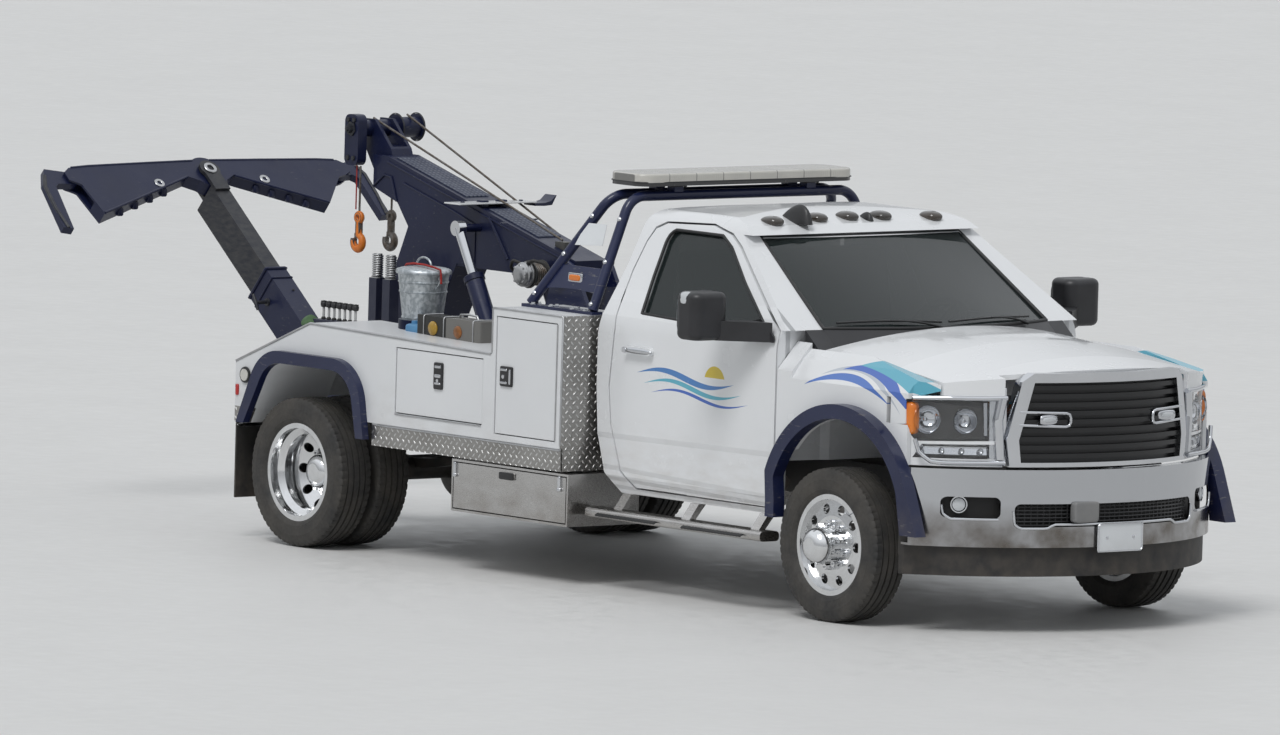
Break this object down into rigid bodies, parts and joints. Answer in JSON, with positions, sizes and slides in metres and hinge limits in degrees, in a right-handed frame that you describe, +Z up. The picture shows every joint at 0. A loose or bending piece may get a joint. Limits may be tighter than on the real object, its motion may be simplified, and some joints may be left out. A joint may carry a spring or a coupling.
{
  "type": "self-loading tow truck",
  "caption": "White medium tow truck with cab, wheel lift, boom, side lockers and pylon; its doors, hood, steering, wheels, boom and wheel lift move.",
  "frame": {"origin": "on the ground under the middle of the overall length and width", "axes": "+X towards the front of the truck, +Y towards the driver's left side, +Z up"},
  "size_m": [7.8796, 2.762, 2.226],
  "materials": {
    "frame_black": "satin black paint with road dirt",
    "cast_grey": "rough cast grey",
    "dull_steel": "dull steel with light rust",
    "white_paint": "gloss white",
    "navy_paint": "satin navy, worn at edges",
    "tinted_glass": "tinted",
    "grey_fabric": "woven grey",
    "black_plastic": "grained black",
    "chrome_trim": "bright chrome",
    "clear_lens": "clear lens over a reflector",
    "bright_steel": "bright stainless steel",
    "black_rubber": "dull black",
    "amber_lens": "amber",
    "galvanised": "spangled zinc",
    "dark_steel": "oiled dark steel",
    "tyre_rubber": "black rubber",
    "polished_aluminium": "polished"
  },
  "bodies": {
    "chassis": {"chassis_frame": "frame_black", "front_axle": "frame_black", "rear_axle": "frame_black", "engine_and_shaft": "cast_grey", "tank_and_exhaust": "dull_steel", "cab_shell": "white_paint", "cab_glass": "tinted_glass", "seats": "grey_fabric", "dashboard": "black_plastic", "cowl": "black_plastic", "front_fenders": "white_paint", "wheel_arch_flares": "navy_paint", "grille_surround": "chrome_trim", "grille_bars": "black_plastic", "headlamps": "clear_lens", "front_bumper": "chrome_trim", "front_valance": "black_plastic", "running_boards": "bright_steel", "wrecker_body": "white_paint", "under_boxes": "bright_steel", "pylon": "navy_paint", "light_bar": "clear_lens", "mud_flaps": "black_rubber", "marker_lamps": "amber_lens", "deck_gear": "navy_paint", "bucket": "galvanised", "boom_turret": "navy_paint"},
    "knuckle_left": {"knuckle_left": "frame_black"},
    "knuckle_right": {"knuckle_right": "frame_black"},
    "wheel_front_left": {"tyre_front_left": "tyre_rubber", "rim_front_left": "polished_aluminium"},
    "wheel_front_right": {"tyre_front_right": "tyre_rubber", "rim_front_right": "polished_aluminium"},
    "wheels_rear_left": {"tyre_rear_left": "tyre_rubber", "rim_rear_left": "polished_aluminium"},
    "wheels_rear_right": {"tyre_rear_right": "tyre_rubber", "rim_rear_right": "polished_aluminium"},
    "cab_door_left": {"door_left": "white_paint", "door_glass_left": "tinted_glass", "mirror_left": "black_plastic"},
    "cab_door_right": {"door_right": "white_paint", "door_glass_right": "tinted_glass", "mirror_right": "black_plastic"},
    "hood_body": {"hood": "white_paint"},
    "locker_door_left": {"low_door_left": "white_paint"},
    "locker_door_right": {"low_door_right": "white_paint"},
    "cabinet_door_left": {"tall_door_left": "white_paint"},
    "cabinet_door_right": {"tall_door_right": "white_paint"},
    "under_box_door_left": {"under_door_left": "bright_steel"},
    "under_box_door_right": {"under_door_right": "bright_steel"},
    "boom_body": {"boom": "navy_paint", "winches": "dark_steel", "tow_lines": "dark_steel"},
    "barrels": {"lift_barrels": "navy_paint"},
    "rods": {"lift_rods": "chrome_trim"},
    "wheel_lift_sleeve": {"stinger_sleeve": "navy_paint"},
    "wheel_lift_tube": {"stinger_tube": "dark_steel"},
    "crossbar_body": {"crossbar": "navy_paint"},
    "claw_left_body": {"claw_left": "navy_paint"},
    "claw_right_body": {"claw_right": "navy_paint"}
  },
  "joints": [
    {"name": "steer_left", "type": "hinge", "parent": "chassis", "child": "knuckle_left", "pos_m": [2.88, 0.77, 0.4], "axis": [0, 0, 1], "range_deg": [-35, 35]},
    {"name": "steer_right", "type": "hinge", "parent": "chassis", "child": "knuckle_right", "pos_m": [2.88, -0.77, 0.4], "axis": [0, 0, 1], "range_deg": [-35, 35]},
    {"name": "spin_front_left", "type": "hinge", "parent": "knuckle_left", "child": "wheel_front_left", "pos_m": [2.88, 0.961, 0.4], "axis": [0, 1, 0], "continuous": true},
    {"name": "spin_front_right", "type": "hinge", "parent": "knuckle_right", "child": "wheel_front_right", "pos_m": [2.88, -0.961, 0.4], "axis": [0, 1, 0], "continuous": true},
    {"name": "spin_rear_left", "type": "hinge", "parent": "chassis", "child": "wheels_rear_left", "pos_m": [-1.4, 0.977, 0.4], "axis": [0, 1, 0], "continuous": true},
    {"name": "spin_rear_right", "type": "hinge", "parent": "chassis", "child": "wheels_rear_right", "pos_m": [-1.4, -0.977, 0.4], "axis": [0, 1, 0], "continuous": true},
    {"name": "cab_door_left", "type": "hinge", "parent": "chassis", "child": "cab_door_left", "pos_m": [2.369, 1.012, 1], "axis": [0, 0, -1], "range_deg": [0, 65]},
    {"name": "cab_door_right", "type": "hinge", "parent": "chassis", "child": "cab_door_right", "pos_m": [2.369, -1.012, 1], "axis": [0, 0, 1], "range_deg": [0, 65]},
    {"name": "hood", "type": "hinge", "parent": "chassis", "child": "hood_body", "pos_m": [2.55, 0, 1.4], "axis": [0, -1, 0], "range_deg": [0, 50]},
    {"name": "locker_door_left", "type": "hinge", "parent": "chassis", "child": "locker_door_left", "pos_m": [-0.179, 1.215, 0.797], "axis": [-1, 0, 0], "range_deg": [0, 90]},
    {"name": "locker_door_right", "type": "hinge", "parent": "chassis", "child": "locker_door_right", "pos_m": [-0.179, -1.215, 0.797], "axis": [1, 0, 0], "range_deg": [0, 90]},
    {"name": "cabinet_door_left", "type": "hinge", "parent": "chassis", "child": "cabinet_door_left", "pos_m": [0.803, 1.216, 1.065], "axis": [0, 0, -1], "range_deg": [0, 95]},
    {"name": "cabinet_door_right", "type": "hinge", "parent": "chassis", "child": "cabinet_door_right", "pos_m": [0.803, -1.216, 1.065], "axis": [0, 0, 1], "range_deg": [0, 95]},
    {"name": "under_box_door_left", "type": "hinge", "parent": "chassis", "child": "under_box_door_left", "pos_m": [0.41, 1.194, 0.334], "axis": [-1, 0, 0], "range_deg": [0, 90]},
    {"name": "under_box_door_right", "type": "hinge", "parent": "chassis", "child": "under_box_door_right", "pos_m": [0.41, -1.194, 0.334], "axis": [1, 0, 0], "range_deg": [0, 90]},
    {"name": "boom_lift", "type": "hinge", "parent": "chassis", "child": "boom_body", "pos_m": [-0.5, 0, 1.5], "axis": [0, 1, 0], "range_deg": [-6, 20]},
    {"name": "barrel_swing", "type": "hinge", "parent": "chassis", "child": "barrels", "pos_m": [-0.922, 0, 1.075], "axis": [0, 1, 0], "range_deg": [-4.8, 14.6]},
    {"name": "rod_slide", "type": "slide", "parent": "barrels", "child": "rods", "axis": [-0.4914, 0, 0.8709], "range_m": [-0.06, 0.195]},
    {"name": "wheel_lift_tilt", "type": "hinge", "parent": "boom_body", "child": "wheel_lift_sleeve", "pos_m": [-2.25, 0, 0.47], "axis": [0, 1, 0], "range_deg": [-36, 35]},
    {"name": "wheel_lift_reach", "type": "slide", "parent": "wheel_lift_sleeve", "child": "wheel_lift_tube", "axis": [-0.7728, 0, 0.6347], "range_m": [-0.52, 0.38]},
    {"name": "crossbar_swivel", "type": "hinge", "parent": "wheel_lift_tube", "child": "crossbar_body", "pos_m": [-3.828, 0, 1.766], "axis": [-0.6347, 0, -0.7728], "range_deg": [-25, 25]},
    {"name": "claw_left", "type": "hinge", "parent": "crossbar_body", "child": "claw_left_body", "pos_m": [-3.828, 0.925, 1.766], "axis": [0.6347, 0, 0.7728], "range_deg": [-10, 80]},
    {"name": "claw_right", "type": "hinge", "parent": "crossbar_body", "child": "claw_right_body", "pos_m": [-3.828, -0.925, 1.766], "axis": [-0.6347, 0, -0.7728], "range_deg": [-10, 80]}
  ],
  "couplings": [
    {"joint": "steer_right", "follows": "steer_left", "ratio": 1},
    {"joint": "barrel_swing", "follows": "boom_lift", "ratio": 0.72},
    {"joint": "rod_slide", "follows": "boom_lift", "m_per_rad": 0.55}
  ]
}
